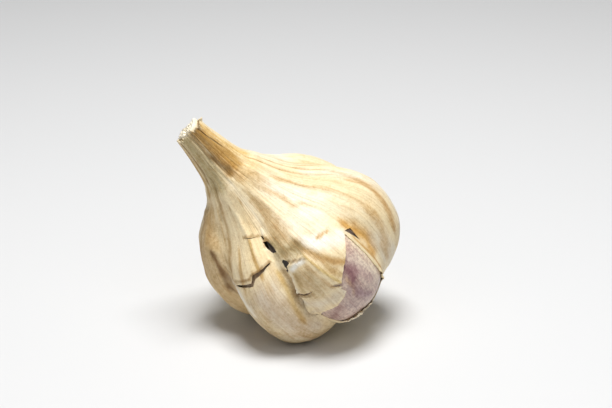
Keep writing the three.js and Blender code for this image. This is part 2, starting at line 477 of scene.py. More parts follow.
BIG_TEAR = TEAR_TOP + FRONT_RIM + FOOT_RIM + SIDE_RIM + RIGHT_RIM + TONGUE[::-1]
# name: (outline, how far its edge strays in millimetres)
TEARS = {
    "big_tear": (BIG_TEAR, 0.14),
    "valley_hole": (
        [(-20.4, 55.2), (-19.8, 52.8), (-18, 51.2), (-14.4, 51.2), (-14.6, 52.8), (-16.6, 55)],
        0.1,
    ),
    "valley_nick": ([(-19.8, 56.8), (-18.4, 57), (-18.2, 55.9), (-19.4, 55.7)], 0.06),
    "right_hole": ([(26.6, 42.6), (32.4, 41.2), (30.6, 37.4), (28.4, 40)], 0.1),
    "tongue_notch": (
        [(-20.6, 38.9), (-18.8, 38.8), (-17, 39.3), (-15, 39)]
        + [(-11, 39), (-14, 38.6), (-17, 38.6), (-20.4, 38.3)],
        0.05,
    ),
    "right_notch": ([(-3, 37.9), (2.6, 36.3), (2.2, 35.7), (-1.4, 37)], 0.08),
    "long_crack": (
        [(-70, 48.7), (-64, 47.6), (-56, 47.1), (-47.2, 47.1), (-39, 46.8), (-36, 48), (-23.2, 48.4)]
        + [(-23.4, 48.8), (-36.4, 49.1), (-39.4, 47.6), (-47.2, 47.8), (-56, 47.4), (-64, 47.9)],
        0.06,
    ),
    "short_crack": ([(-35, 58.5), (-28, 57.5), (-20.8, 56.8), (-28, 57.3), (-34.6, 58.3)], 0.03),
}
TEAR_STEP = 0.7
TEAR_SURROUNDINGS = 2.0
KNIFE_REACH = 0.7
SLIVER = 0.03


def on_pattern(outline):
    return [Vector((bearing * DEGREE, percent, 0)) for bearing, percent in outline]


def ragged(outline, jag, dice):
    """An outline broken up into the short jerks of a tear."""
    corners = on_pattern(outline)
    steps = []
    for start, end in zip(corners, corners[1:] + corners[:1]):
        run = end - start
        count = max(1, round(run.length / TEAR_STEP))
        sideways = Vector((-run.y, run.x, 0)).normalized()
        steps.append(start)
        for k in range(1, count):
            steps.append(start + run * (k / count) + sideways * dice.uniform(-jag, jag))
    return steps


def is_inside(point, outline):
    inside = False
    for a, b in zip(outline, outline[1:] + outline[:1]):
        if (a.y > point.y) != (b.y > point.y):
            if point.x < a.x + (b.x - a.x) * (point.y - a.y) / (b.y - a.y):
                inside = not inside
    return inside


def faces_near(faces, corners, margin):
    low = (min(c.x for c in corners) - margin, min(c.y for c in corners) - margin)
    high = (max(c.x for c in corners) + margin, max(c.y for c in corners) + margin)
    found = []
    for face in faces:
        at = face.calc_center_median()
        if low[0] < at.x < high[0] and low[1] < at.y < high[1]:
            found.append(face)
    return found


def knife(work, outline):
    """Cuts the sheet along an outline and deletes what is inside it."""
    near = set(faces_near(work.faces, outline, TEAR_SURROUNDINGS))
    for start, end in zip(outline, outline[1:] + outline[:1]):
        hit = faces_near(near, (start, end), KNIFE_REACH)
        edges = {edge for face in hit for edge in face.edges}
        verts = {vert for face in hit for vert in face.verts}
        across = Vector((start.y - end.y, end.x - start.x, 0)).normalized()
        cut = bmesh.ops.bisect_plane(
            work, geom=[*hit, *edges, *verts], dist=0.004, plane_co=start, plane_no=across
        )
        near = {face for face in near if face.is_valid}
        near |= {item for item in cut["geom"] if isinstance(item, bmesh.types.BMFace)}
    gone = [face for face in near if is_inside(face.calc_center_median(), outline)]
    bmesh.ops.delete(work, geom=gone, context="FACES")
    return len(gone)


dice = random.Random(11)
for name, (outline, jag) in TEARS.items():
    print(name, "took out", knife(sheet, ragged(outline, jag, dice)), "faces")
bmesh.ops.remove_doubles(sheet, verts=sheet.verts, dist=SLIVER)

# %% [markdown]
# ## The skin, step 3: folds, veins and lifted edges
# Paper that has dried on a bulb is never smooth. It has pleats that run from the neck to the root,
# shallow dents, and folds where the torn tongue has lifted and dropped again. Each fold is a line with a
# height and a reach to either side, so a short reach on one side gives a step and a short reach on both
# gives a crease.

# %% Folds: [line, reach left, reach right, tall, height]. Left and right are seen along the line.
# These lines are stained as well as folded.
TOP_CREASE = [(58, 76), (61, 69), (64, 61), (66, 53)]
SIDE_CREASE = [(74, 68), (75, 61), (73, 54), (68, 47), (62, 41)]
NECK_CREASE = [(-68, 97), (-64, 90), (-60, 85), (-66, 80)]
SHOULDER_CREASE = [(-49, 80), (-54, 70), (-59, 64)]
TONGUE_FOLD = [(-1.8, 46.6), (-0.8, 43.2), (0.5, 39.8), (2.2, 36.8)]
FLAP_SLIT = [(10.6, 47.5), (15, 47), (19, 46.3)]
NICK_RIM = [(-17.2, 57), (-16, 58.3)]
RIGHT_EDGE = SIDE_RIM[-2:] + RIGHT_RIM + [(25, 42)]
FOLDS = [
    # the lit edge where the neck's outer leaf laps over, and the groove beside it
    ([(29, 101), (33.5, 94), (37, 90), (40, 87)], 4, 26, 5, 0.4),
    ([(27, 100), (31, 94), (35, 90), (38, 87.5)], 3.5, 3.5, 2, -0.25),
    # the creases between the top clove and the right one
    (TOP_CREASE, 3, 4, 3, -0.3),
    (SIDE_CREASE, 4, 2.5, 3, -0.25),
    ([(-66, 51), (-67.5, 43.6), (-68, 37), (-60, 30)], 5, 4, 4, -0.3),
    ([(-2, 100), (-4, 93), (-6.5, 86), (-7.5, 82), (-4, 78)], 18, 7, 4, -0.2),
    (NECK_CREASE, 8, 8, 4, -0.2),
    (SHOULDER_CREASE, 7, 4, 4, -0.3),
    # the tongue: a bright flap on top, a fold under it, and a ridge down to its right tip
    ([(1, 51), (3.4, 48.4), (5, 46), (8, 43), (11, 39.8)], 7, 2.5, 3, 0.45),
    (TONGUE_FOLD, 3, 2, 2, 0.3),
    (FLAP_SLIT, 1.5, 1.5, 0.8, -0.15),
    # creases of the left clove's skin
    ([(-70, 49), (-69, 45), (-69.5, 40)], 2, 4, 3, -0.25),
    ([(-76, 62), (-74, 52), (-76, 40), (-78, 30)], 4, 4, 5, -0.25),
    ([(-33, 62), (-30, 56), (-28, 50)], 4, 3, 4, 0.25),
    # veins that stand out on the right clove
    ([(62, 48), (62, 41), (59, 36), (53, 31)], 2.2, 2.2, 3, 0.22),
    ([(47, 58), (50, 50), (50, 42), (46, 34)], 2, 2, 3, 0.16),
    ([(76, 60), (80, 50), (80, 40), (76, 28)], 2.2, 2.2, 3, 0.18),
]
# the skin lies close to the bare clove round the opening
CALM, CALM_PLACE = 0.85, [(12, 36), (16, 26)]
# how unevenly a curled edge stands off, and how far the pleats lie under the smooth skin
FLUTTER, SINK = 1.6, 0.12
# [rim, reach in degrees, reach in percent, lift]
EDGE_CURLS = [
    (RIGHT_EDGE, 4, 2, 0.03),
    (FOOT_RIM[3:] + SIDE_RIM[:1], 4, 1.8, 0.4),
    (FOOT_RIM[4:6], 4, 2.6, 0.5),
    ([(28.8, 21.2), (27.8, 23), (27, 26)], 3, 2.2, 0.5),
    # the outer leaf flares at the cut
    ([(40, 101), (60, 102), (90, 101)], 30, 3.5, 0.8),
    (NICK_RIM, 1.6, 1, 0.2),
    (FRONT_RIM, 4, 2, -0.3),
    ([(-16, 50.5), (-15, 53), (-15, 56)], 4, 2, 0.3),
    ([(-20.5, 56.5), (-21, 53), (-19, 50.6)], 5, 2, -0.3),
    ([(-62, 48.2), (-47, 48.4), (-39.5, 48.4), (-37, 49.5), (-23, 49)], 4, 1.3, 0.2),
    ([(-60, 46.4), (-47, 46.5), (-39, 46.5), (-36, 47.6), (-24, 47.9)], 4, 1.3, -0.1),
    # white fluff on the tongue's top corner, beside the hole
    ([(-11.5, 46.9), (-7, 46.6), (-3.5, 46.1)], 2.2, 1, 0.45),
]


def pleats(bearing, percent):
    """Fine ridges that run along the bulb, deep at the neck and faint on the belly."""
    wander = 7 * grain(bearing, percent, 1.6, 0.06, 9.0)
    coarse = 1 - 2 * abs(grain(bearing + wander, percent, 5.0, 0.05, 1.0))
    fine = 1 - 2 * abs(grain(bearing + wander, percent, 15, 0.07, 5.0))
    neck, root = smooth(62, 86, percent), smooth(16, 6, percent)
    return coarse * (0.09 + 0.06 * neck + 0.25 * root) + fine * (0.03 + 0.08 * neck)


def relief(bearing, percent):
    """How far the skin stands off its smooth shape, in millimetres."""
    belly = smooth(80, 60, percent)
    height = pleats(bearing, percent) - SINK
    height += 0.35 * belly * grain(bearing, percent, 2.2, 0.07, 2.0)
    height += 0.20 * belly * grain(bearing, percent, 6, 0.2, 4.0)
    height += 0.07 * belly * grain(bearing, percent, 15, 0.5, 6.0)
    for line, left, right, tall, tallness in FOLDS:
        _, side = reach_of(bearing, percent, line, 1, 0.5)
        to_left = felt(bearing, percent, line, left, tall)
        to_right = felt(bearing, percent, line, right, tall)
        height += tallness * np.where(side < 0, to_left, to_right)
    height *= 1 - CALM * felt(bearing, percent, CALM_PLACE, 30, 20)
    flutter = 1 + FLUTTER * grain(bearing, percent, 16, 0.8, 12.0)
    for line, wide, tall, lift in EDGE_CURLS:
        height += lift * flutter * felt(bearing, percent, line, wide, tall)
    return height


# %% [markdown]
# The tongue is the part that shows that this is torn paper: its left edge laps over the skin of the next
# clove. A sheet can't lap over itself while it is flat, so the tongue's points are moved sideways and
# outwards, and the more so the nearer they are to that edge.


# %% The tongue laps over its neighbour
LAP = 2.6  # degrees of bearing
LOOSE_LIFT, LEFT_LIFT, FOOT_LIFT, RIGHT_LIFT = 0.1, 0.5, 0.25, 0.2  # millimetres
JOINT = [(-8, 47), (25, 42.6)]
MARGIN = 0.3


def tongue_share(bearing, percent):
    """1 on the loose part of the tongue, 0 on the skin round it, soft at the top where it is joined."""
    outline = on_pattern(TONGUE)
    centre = sum(outline, Vector()) / len(outline)
    wider = [c + (c - centre).normalized() * MARGIN for c in outline]
    share = np.array([is_inside(place, wider) for place in on_pattern(zip(bearing, percent))], float)
    return share * smooth(0, 1, reach_of(bearing, percent, JOINT, 6, 3)[0])


def pattern_places(work):
    """Bearing and percent of each point, read back from the UV map."""
    layer = work.loops.layers.uv.active
    found = np.zeros((len(work.verts), 2))
    work.verts.index_update()
    for face in work.faces:
        for loop in face.loops:
            found[loop.vert.index] = loop[layer].uv
    return found[:, 0] * 360 - 180, found[:, 1] * 100


CUT_SLOPE, CUT_HIGH_SIDE = 0.9, -15
TUFT, TUFT_BEARING = 0.6, 70
FRAY = 0.9


def aslant(bearing):
    """The neck was cut a little aslant: how far the cut drops away from its high side."""
    return -CUT_SLOPE * (1 - np.cos(np.radians(bearing - CUT_HIGH_SIDE)))


def cut_height(bearing):
    """How far the cut, with its frays and its tuft, stands above or below a level one."""
    level = np.zeros(bearing.shape)
    tuft = TUFT * felt(bearing, level, [(TUFT_BEARING, 0)], 40, 1)
    frayed = FRAY * (grain(bearing, level, 2.5, 1, 7.0) + grain(bearing, level, 8, 1, 8.0))
    return aslant(bearing) + tuft + frayed


def draw_over(work):
    """Takes the flat sheet's points to their places on the table."""
    flat = points_of(work)
    bearing, percent = flat[:, 0] / DEGREE, flat[:, 1]
    loose = tongue_share(bearing, percent)
    at_left = loose * felt(bearing, percent, TONGUE_LEFT, 9, 4.5)
    at_foot = loose * felt(bearing, percent, TONGUE_FOOT, 5, 2.5)
    at_right = loose * felt(bearing, percent, TONGUE_RIGHT, 4, 2)
    lift = relief(bearing, percent) + LOOSE_LIFT * loose
    lift += LEFT_LIFT * at_left + FOOT_LIFT * at_foot + RIGHT_LIFT * at_right
    drawn = off_skin(bearing - LAP * at_left, percent, lift)
    drawn[:, 2] += cut_height(bearing) * smooth(90, 100, percent)
    move_points(work, lie_down(drawn, PLACE))


uv = sheet.loops.layers.uv.new("UVMap")
for face in sheet.faces:
    for loop in face.loops:
        loop[uv].uv = (loop.vert.co.x / DEGREE / 360 + 0.5, loop.vert.co.y / 100)
draw_over(sheet)
print("skin drawn over the cloves")

# %% [markdown]
# ## The skin, step 4: colour
# The skin is cream, and golden where it is thick or damp. It turns grey-brown where it was bruised, olive
# on one side of the neck and brown on the other. These are painted as soft marks, and so is some light
# and
# shade: painted shade in creases, hollows and a crack, painted shadow beside the tongue, and painted
# highlights on the tongue's left edge and in the hollow left of the front clove. The fibres, which are
# far finer than the mesh, come from a pattern in the material.

# %% Colours of the skin: [line, wide, tall, colour, strength]
CREAM = "FAE9C3"
SKIN_COLOUR_AND_PAINTED_LIGHT_MARKS = [
    # the belly's broad tones
    ([(30, 62), (30, 52), (16, 54)], 26, 10, "F8EEDA", 0.9),
    ([(-14, 74), (-17, 68), (-14, 62)], 10, 6, "FDF3DC", 0.7),
    ([(84, 70), (100, 62), (120, 58)], 20, 8, "FBF2DC", 0.8),
    ([(60, 55), (66, 42), (60, 34)], 20, 12, "F1DDB2", 0.6),
    ([(-80, 62), (-78, 45), (-74, 30)], 26, 14, "D2B584", 0.85),
    ([(-40, 44), (-38, 30), (-34, 20)], 20, 9, "E6D5B4", 0.6),
    ([(-20, 68), (-24, 60), (-28, 52)], 12, 8, "FBE3B2", 0.7),
    # tan tone and painted shade on the darker zone above the tongue
    ([(-1, 64), (-3, 59), (-6, 54)], 10, 5, "C2A473", 0.85),
    ([(-35, 43), (-34, 36), (-33, 28)], 14, 6, "E8DAC8", 0.85),
    ([(-50, 40), (-46, 30), (-40, 22)], 12, 6, "CDBB98", 0.7),
    ([(43, 64.4), (47, 62)], 5, 2.5, "D9B277", 0.7),
    ([(21, 64.5), (24, 61), (22, 58)], 5, 3, "DDBB84", 0.6),
    ([(27, 56.1), (30, 53)], 4, 2, "E0C08A", 0.5),
    ([(-37, 67), (-38, 66)], 2, 1, "A9803F", 0.7),
    ([(-17.5, 67.2), (-18, 66)], 2, 1, "B58D4C", 0.6),
    (TOP_CREASE, 2.2, 4, "BC9154", 0.7),
    (SIDE_CREASE, 2.4, 4, "BF9354", 0.75),
    # painted highlight in the hollow left of the front clove and down its side
    ([(-64, 44), (-58, 45.5), (-53, 44.5), (-50, 42)], 4, 3, "FBF4E2", 0.9),
    ([(-52, 44), (-52, 36)], 4, 3, "EADDBF", 0.6),
    # golden streaks
    ([(31, 43), (34, 40), (36, 36), (34, 33)], 7, 3, "D8A446", 0.9),
    ([(42, 33), (42, 28), (44, 22)], 10, 6, "F8F0DE", 0.95),
    ([(33, 52), (32, 46)], 5, 5, "EBD3A0", 0.3),
    ([(68, 57), (68, 50)], 10, 5, "FCF4E4", 0.6),
    ([(72, 44), (72, 36), (64, 27)], 12, 6, "F5ECD8", 0.85),
    ([(62, 46), (62, 41), (59, 36), (53, 31)], 1.8, 4, "C2934F", 0.6),
    ([(82, 58), (84, 48), (83, 38), (78, 26)], 2.4, 8, "CDA263", 0.5),
    ([(47, 58), (50, 50), (50, 42), (46, 34), (40, 28)], 2, 7, "D2AA68", 0.45),
    ([(92, 62), (97, 50), (99, 36)], 4, 9, "D8B477", 0.45),
    ([(-22, 45.5), (-23, 42.2), (-24.6, 39.2), (-26, 36.8), (-28, 33)], 2.4, 2, "DDB862", 0.6),
    ([(-30.2, 56.5), (-31.3, 51.5), (-31, 48)], 2.4, 2, "D6AE5E", 0.75),
    ([(-44, 56), (-46, 50), (-47, 46)], 2.4, 2, "CFA65C", 0.6),
    ([(-34, 30), (-33, 24), (-30, 20)], 5, 5, "D3B27C", 0.5),
    ([(-52, 70), (-56, 60), (-60, 50), (-60, 38)], 3.5, 5, "BF9A62", 0.55),
    # a brown streak with painted shade along the left clove's crease
    ([(-71, 50), (-69.5, 46), (-69.5, 40)], 3.6, 2, "7A5528", 0.95),
    ([(-88, 60), (-90, 48), (-92, 36)], 6, 6, "BE9A62", 0.55),
    # the neck: olive on the left, brown in the middle, straw on the right
    ([(-34, 102), (-36, 90), (-40, 80), (-46, 75)], 46, 5, "CCBE93", 0.95),
    ([(22, 80), (30, 74), (10, 72)], 26, 7, "E6C88F", 0.7),
    ([(56, 84), (52, 77), (46, 71)], 26, 6, "F1D79E", 0.65),
    ([(26, 103), (26, 93), (26, 87), (20, 80)], 34, 6, "C79C52", 1.0),
    ([(40, 91), (38, 85), (32, 80)], 15, 5, "D0A75C", 0.85),
    ([(8, 99), (10, 91), (7, 85), (2, 79)], 15, 4, "AA8340", 0.9),
    ([(-4, 99), (-7, 93), (-9, 87)], 12, 3, "84683A", 0.8),
    ([(-6, 86), (-4, 82), (3, 81), (10, 80.5)], 7, 2.6, "806538", 0.75),
    ([(-4, 80), (4, 77), (8, 73)], 12, 5, "B98F4E", 0.5),
    # painted shade in the groove where the neck's outer leaf laps over
    ([(27, 100), (31, 94), (35, 90), (38, 87)], 4, 1.4, "4E350F", 0.95),
    ([(52, 102), (56, 92), (64, 84), (70, 78)], 16, 5, "EDCB84", 0.85),
    ([(-84, 96), (-82, 88), (-80, 82), (-76, 74)], 10, 4, "C6A25C", 0.8),
    (NECK_CREASE, 7, 2, "8B6C38", 0.7),
    (SHOULDER_CREASE, 4, 2, "8F7446", 0.35),
    ([(20, 74), (26, 68)], 16, 5, "D8B87F", 0.5),
    # the tongue: bright flap, brown fold, grey middle, pale foot, a painted highlight on its left edge
    # and painted shadow in the groove beside it
    ([(4, 49), (12, 46), (18, 43.5), (22, 43)], 9, 2.8, "FBF5E8", 1.0),
    ([(-1, 50.5), (1, 47.5), (3, 45), (6, 42.6), (9.5, 40), (11.5, 38.8)], 3.2, 2, "CDA76A", 0.9),
    ([(-7, 44), (-8, 41), (-10, 38.5)], 8, 4, "D9C7A2", 0.9),
    ([(-4.5, 45), (-4, 41.5), (-3, 38.5)], 2, 1.6, "BF9C68", 0.6),
    ([(3.5, 41.5), (4.5, 38.6)], 3, 1.8, "D2B27A", 0.8),
    (TONGUE_FOLD, 1.3, 1.5, "E3C987", 0.9),
    # painted highlight on the tongue's left edge
    ([(-13.6, 45), (-14.6, 43.4), (-17.2, 40.8), (-19.4, 38.7)], 2.6, 1.8, "FCF4DE", 1.0),
    ([(-11, 44.4), (-12.2, 42.4), (-14.4, 39.8)], 1.6, 1.4, "BFA46E", 0.6),
    # painted shadow in the groove left of the tongue
    ([(-18.6, 46), (-19, 43), (-21.6, 39.5), (-23.6, 36)], 2.6, 2, "AE8F60", 0.75),
    ([(-18, 36), (-12, 35), (-4, 35)], 9, 2, "F0E5D0", 0.9),
    ([(-6, 34), (0.5, 34.6)], 4, 1.2, "F2E6CE", 0.85),
    ([(-16, 33.4), (-20, 32.6)], 3, 0.8, "F0E4CC", 0.8),
    ([(-20, 38.2), (-13, 38.3)], 3, 0.6, "8A6A3A", 0.8),
    ([(-2.5, 37.4), (1.8, 36.2)], 2, 0.6, "8A6A4A", 0.7),
    (FLAP_SLIT, 1.2, 0.55, "DFB878", 0.8),
    ([(-11, 45.9), (-9, 46.4), (-4.5, 46.3)], 2, 1.0, "FFFDF4", 1.0),
    # painted shade for the crack above the white fluff
    ([(-3, 46.6), (-8, 47.4), (-11.5, 47.9)], 2.2, 0.5, "6A5030", 0.9),
    # olive tone and painted shade in the hollow between the valley hole and the tongue
    ([(-14, 53.5), (-12, 51), (-6, 50), (-1, 49.6)], 7, 3, "AC9A6F", 0.9),
    (NICK_RIM, 1.6, 0.9, "FFF9EA", 0.5),
    # the rims of the tear
    (RIGHT_EDGE, 1.6, 1, "EFE0B8", 0.9),
    ([(27.6, 39), (28.6, 35), (29.4, 30), (30.4, 26)], 1.2, 2, "D2A04C", 0.8),
    (FOOT_RIM[3:] + SIDE_RIM, 3, 1.4, "F8EED6", 1.0),
    # brown lips of the cracks
    ([(-62, 48.1), (-47, 48.5), (-39.5, 48.6), (-37, 49.3), (-23, 48.9)], 1.6, 0.5, "8F6A34", 0.8),
    ([(-36, 58.9), (-28, 57.8), (-20, 57)], 1.4, 0.5, "A27C44", 0.7),
    ([(-20.3, 53.8), (-18.4, 56.4), (-15.4, 55.2)], 2, 0.8, "B48C50", 0.7),
    # the pale film in the hollow left of the front clove, brightened by a painted highlight
    ([(-62, 45.5), (-56, 45.5), (-51.5, 43.5), (-49.5, 40)], 3.6, 2, "FCF6E8", 0.85),
    # the cut rim
    ([(-180, 100.6), (180, 100.6)], 30, 2, "F1E6C6", 0.9),
]

skin_finish = Finish("dry_papery_skin", roughness=0.42)
tint = skin_finish.attribute("tint")
wide_bands = skin_finish.round_the_bulb(8, 5.0)
fine_threads = skin_finish.round_the_bulb(42, 11.0)
broad = skin_finish.noise(wide_bands, 1.0, detail=5, roughness=0.6, distortion=0.8)
fibres = skin_finish.noise(fine_threads, 1.0, detail=4, roughness=0.65, distortion=0.3)
veins = skin_finish.noise(skin_finish.round_the_bulb(11, 2.6), 1.0, detail=2, distortion=0.8)
vein_lines = (1 - abs(veins * 2 - 1)) ** 20
blotches = skin_finish.noise(skin_finish.object_place(), 380, detail=6, roughness=0.65, distortion=0.5)
crinkle = skin_finish.noise(skin_finish.object_place(), 1500, detail=3, roughness=0.6)
pale = skin_finish.node("ShaderNodeRGBToBW", None, {0: tint})
worn = skin_finish.node("ShaderNodeMapRange", None, {0: pale, 1: 0.62, 2: 0.93, 3: 1.0, 4: 0.25})
golden_bands = [(0.32, (0.88, 0.79, 0.62)), (0.48, (0.98, 0.96, 0.91)), (0.62, (1, 1, 1))]
streaked = skin_finish.ramp(broad, golden_bands)
body = skin_finish.blend(worn * 0.6, tint, streaked, "MULTIPLY")
body = skin_finish.blend(vein_lines * worn * 0.4, body, colour("C29552"))
thread = skin_finish.ramp(fibres, [(0.36, (0.86, 0.82, 0.74)), (0.56, (1, 1, 1))])
body = skin_finish.blend(0.2 + worn * 0.7, body, thread, "MULTIPLY")
brown_specks = [(0.38, (0.82, 0.72, 0.58)), (0.5, (0.98, 0.96, 0.93)), (0.6, (1, 1, 1))]
speck = skin_finish.ramp(blotches, brown_specks)
body = skin_finish.blend(worn * 0.75, body, speck, "MULTIPLY")
fleck = skin_finish.ramp(crinkle, [(0.38, (0.78, 0.72, 0.62)), (0.52, (1, 1, 1))])
body = skin_finish.blend(worn * 0.6, body, fleck, "MULTIPLY")
relief_map = fibres * 0.4 + vein_lines * 0.25 + blotches * 0.75 + crinkle * 0.4
skin_finish.wear(
    Base_Color=body,
    Roughness=0.52 + 0.22 * fibres,
    Normal=skin_finish.bump(relief_map, distance=0.00028, strength=0.9),
)

# %% The skin becomes a piece
seam = [v for v in sheet.verts if v.is_boundary]
bmesh.ops.remove_doubles(sheet, verts=seam, dist=0.01 * MM)
for edge in sheet.edges:
    edge.smooth = not edge.is_boundary
skin_bearing, skin_percent = pattern_places(sheet)
skin = add_piece("papery_skin", sheet, skin_finish.material, "outer_skin")

# %% [markdown]
# The sheet still has no thickness. A Solidify modifier gives it the thickness of dry skin, inwards, so
# that its outer face stays where the frame has it and the torn edges show as thin pale lines.

# %% Thickness of the skin
SKIN_THICKNESS = 0.24 * MM
wall = skin.modifiers.new("thickness", "SOLIDIFY")
wall.thickness = SKIN_THICKNESS
wall.offset = -1
wall.use_even_offset = False
paint(skin.data, skin_bearing, skin_percent, CREAM, SKIN_COLOUR_AND_PAINTED_LIGHT_MARKS)
print("skin thickness:", SKIN_THICKNESS, "m")

# %% [markdown]
# ## Cloves
# Each clove is a ball drawn out of round: flat where it leans on its neighbours, full where it meets the
# skin, and narrow at both ends. A UV sphere already has the rings and the poles for that, so its points
# only need to be moved: left and right becomes the bearing, front and back becomes the depth, and up
# becomes the height.

# %% A clove from a ball
CLOVE_SPAN = (5, 69)
CORE_RADIUS, CORE_FROM, CORE_TO = 4, -10, 26
SQUARENESS = 5
CLOVE_TAPER = 0.33


def clove_work(index, depth, rings, fullness=1.0, side_gap=1.2):
    """A clove under the skin, `depth` millimetres down, with each point's bearing and percent."""
    name = list(CLOVES)[index]
    middle_bearing = CLOVES[name][0]
    work = bmesh.new()
    bmesh.ops.create_uvsphere(work, u_segments=rings * 3 // 2, v_segments=rings, radius=1)
    ball = points_of(work)
    girth = (1 - np.minimum(ball[:, 2] ** 2, 1)) ** CLOVE_TAPER
    size = (abs(ball[:, 0]) ** SQUARENESS + abs(ball[:, 1]) ** SQUARENESS) ** (1 / SQUARENESS)
    size = np.maximum(size, 1e-6)
    across = girth * ball[:, 0] / size
    outwards = np.minimum(0.5 + 0.5 * fullness * girth * ball[:, 1] / size, 1)[:, None]
    along = 0.5 + 0.5 * ball[:, 2]
    wide = np.where(across > 0, half_width(index, 1), half_width(index, -1)) - side_gap
    bearing = middle_bearing + across * wide
    percent = CLOVE_SPAN[0] + (CLOVE_SPAN[1] - CLOVE_SPAN[0]) * along
    dents = 0.18 * grain(bearing, percent, 3, 0.1, 20.0)
    outside = off_skin(bearing, percent, dents - depth)
    inside = round_axis(CORE_RADIUS, bearing, CORE_FROM + (CORE_TO - CORE_FROM) * along)
    move_points(work, lie_down(inside + (outside - inside) * outwards, PLACE, floor=depth))
    bmesh.ops.recalc_face_normals(work, faces=work.faces)
    return work, bearing, percent


# %% [markdown]
# The clove's own skin is tougher and smoother than the papery one. Under it the bare clove shows purple,
# with tan patches where a film of the outer skin has stuck. The others are pale, tan under the long
# crack.
# Where the holes, cracks and slits open onto the cloves, dark painted shadow is laid on them.

# %% Clove skins
clove_finish = Finish("clove_skin", roughness=0.45)
clove_tint = clove_finish.attribute("tint")
clove_place = clove_finish.object_place()
clove_cloud = clove_finish.noise(clove_place, 160, detail=4, distortion=0.6)
clove_fleck = clove_finish.noise(clove_place, 1300, detail=3)
clove_along = clove_finish.round_the_bulb(34, 16)
clove_fibre = clove_finish.noise(clove_along, 1.0, detail=4, roughness=0.65, distortion=0.6)
clove_shade = clove_finish.ramp(clove_cloud, [(0.35, (0.88, 0.82, 0.82)), (0.55, (1, 1, 1))])
clove_body = clove_finish.blend(0.8, clove_tint, clove_shade, "MULTIPLY")
clove_stripes = [(0.36, (0.66, 0.52, 0.56)), (0.5, (0.95, 0.93, 0.93)), (0.62, (1, 1, 1))]
clove_thread = clove_finish.ramp(clove_fibre, clove_stripes)
clove_body = clove_finish.blend(0.8, clove_body, clove_thread, "MULTIPLY")
clove_dust = clove_finish.ramp(clove_fleck, [(0.38, (0.74, 0.67, 0.69)), (0.6, (1.08, 1.07, 1.05))])
clove_body = clove_finish.blend(0.85, clove_body, clove_dust, "MULTIPLY")
clove_relief = clove_cloud + 0.3 * clove_fleck + 0.4 * clove_fibre
clove_finish.wear(
    Base_Color=clove_body,
    Roughness=0.38 + 0.2 * clove_fleck,
    Normal=clove_finish.bump(clove_relief, distance=0.00025, strength=0.5),
)

PURPLE, PALE = "DAC6B6", "CBB491"
PURPLE_AND_PAINTED_SHADOW_MARKS = [
    ([(12, 41), (20, 41), (25, 39)], 9, 2.4, "E8CDB6", 0.95),
    ([(6, 39), (10, 37.6), (11, 35.6), (7, 34.4)], 5, 2.2, "93666B", 0.95),
    ([(13, 36), (16, 33), (16, 30)], 4, 2.4, "C4A6A2", 0.55),
    ([(3, 33), (6, 30.5), (8, 28), (10, 25)], 5, 2, "A4868F", 0.8),
    ([(-2, 30), (4, 26), (8, 23)], 7, 2.6, "CDB9AE", 0.8),
    ([(20, 37), (22, 32), (22, 26)], 6, 4, "EBDCC6", 0.9),
    ([(0, 22), (12, 20.5), (22, 21.5), (28, 25)], 8, 2, "F0E7D8", 0.9),
    ([(24, 40), (25, 33), (27, 27)], 6, 3, "F8EACC", 0.95),
    ([(-8, 31.6), (-14, 29), (-17, 28)], 5, 2, "A47F78", 0.8),
    ([(5, 35.4), (4.8, 33.6), (4.2, 32)], 1.4, 1.4, "E2C69A", 0.85),
    # painted shadow under the valley hole and the slit left of the tongue
    ([(-18, 58), (-17, 53), (-15, 48), (-16, 44)], 8, 4, "1E150C", 1.0),
    # painted shade under the slit beside the tongue's left edge
    ([(-24, 38), (-25, 30)], 4, 6, "5A4632", 0.9),
    # painted shadow under the right hole
    ([(28.5, 43), (31, 39), (30.5, 36)], 4, 3, "241A0E", 1.0),
]
CRACK_TINT_AND_PAINTED_SHADOW_MARKS = [
    ([(-64, 47.5), (-47, 47.6), (-38, 47.7), (-23, 48.6)], 8, 2.5, "E6B98C", 0.95),
    # painted shade under the short crack
    ([(-36, 58.5), (-20, 57)], 6, 2, "6B5236", 0.9),
    # painted shadow under the valley hole and the slit left of the tongue
    ([(-17.5, 56), (-18, 52), (-16, 47), (-20, 42), (-25, 34), (-25, 30)], 7, 3, "1E150C", 1.0),
    # painted shadow under the right hole
    ([(24, 42), (33, 40), (30, 37)], 6, 3, "2A1E10", 1.0),
]
# The bare clove fills the torn opening up to its rims, so it is fuller and wider than the hidden ones.
BARE = {"depth": 0.3, "rings": 80, "fullness": 1.35, "side_gap": -1.2}
HIDDEN = {"depth": 0.75, "rings": 36}

for index, name in enumerate(CLOVES):
    bare = name == "exposed_clove"
    work, bearing, percent = clove_work(index, **(BARE if bare else HIDDEN))
    title = "bare_clove" if bare else name.replace("clove", "hidden_clove")
    clove = add_piece(title, work, clove_finish.material, name)
    base, marks = (PURPLE, PURPLE_AND_PAINTED_SHADOW_MARKS) if bare else (PALE, CRACK_TINT_AND_PAINTED_SHADOW_MARKS)
    paint(clove.data, bearing, percent, base, marks)

# %% [markdown]
# ## Rolled leaves in the neck
# The neck isn't a pipe: it is the stem's old leaves, dried into a tight roll and cut off short. The roll
# is a flat sheet again, wound into a spiral, with a torn top edge.

# %% The roll
ROLL_TURNS = 3.4
ROLL_OUTSIDE, ROLL_INSIDE = 3.75, 0.4
ROLL_FROM, ROLL_TO = -11, 57
ROLL_TUFT = 1.5
LEAF_THICKNESS = 0.75 * MM


